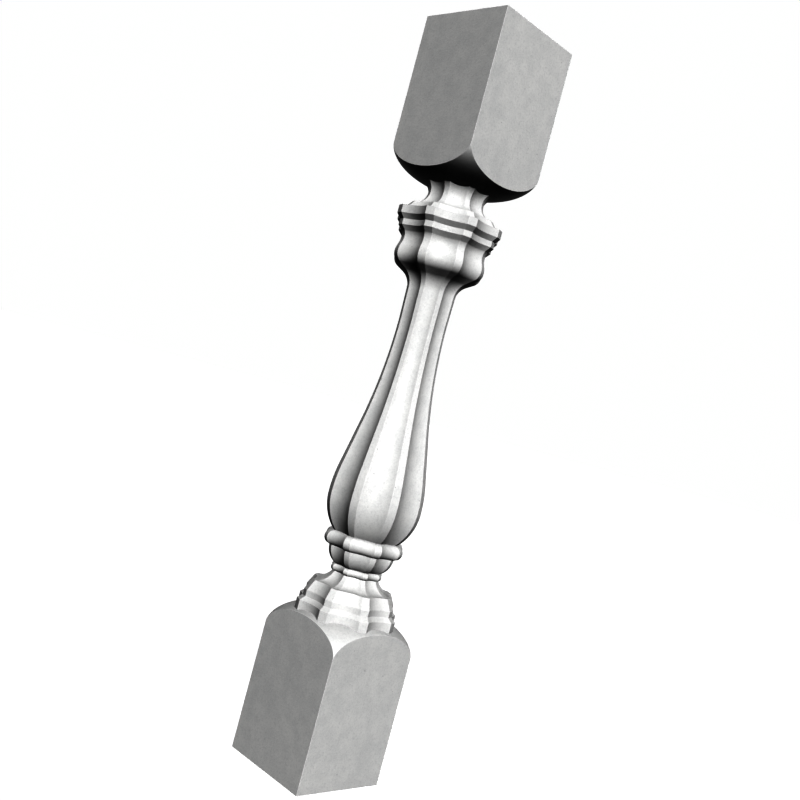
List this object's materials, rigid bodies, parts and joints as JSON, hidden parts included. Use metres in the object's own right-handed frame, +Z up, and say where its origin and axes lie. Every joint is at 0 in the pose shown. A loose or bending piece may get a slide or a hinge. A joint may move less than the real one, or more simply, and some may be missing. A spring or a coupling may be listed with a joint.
{
  "type": "stone baluster",
  "caption": "Stone baluster that stands in a row and carries a rail: a square block at each end, and a fluted vase-shaped shaft between them.",
  "frame": {"origin": "middle of the underside of the lower block, which is the face that the baluster stands on", "axes": "+Z up along the axis of the shaft; +X and +Y square to two faces of the end blocks"},
  "size_m": [0.14, 0.14, 1],
  "materials": {
    "stone": "finely rubbed, matt, pale neutral grey"
  },
  "bodies": {
    "root": {"baluster": "stone"}
  },
  "joints": []
}
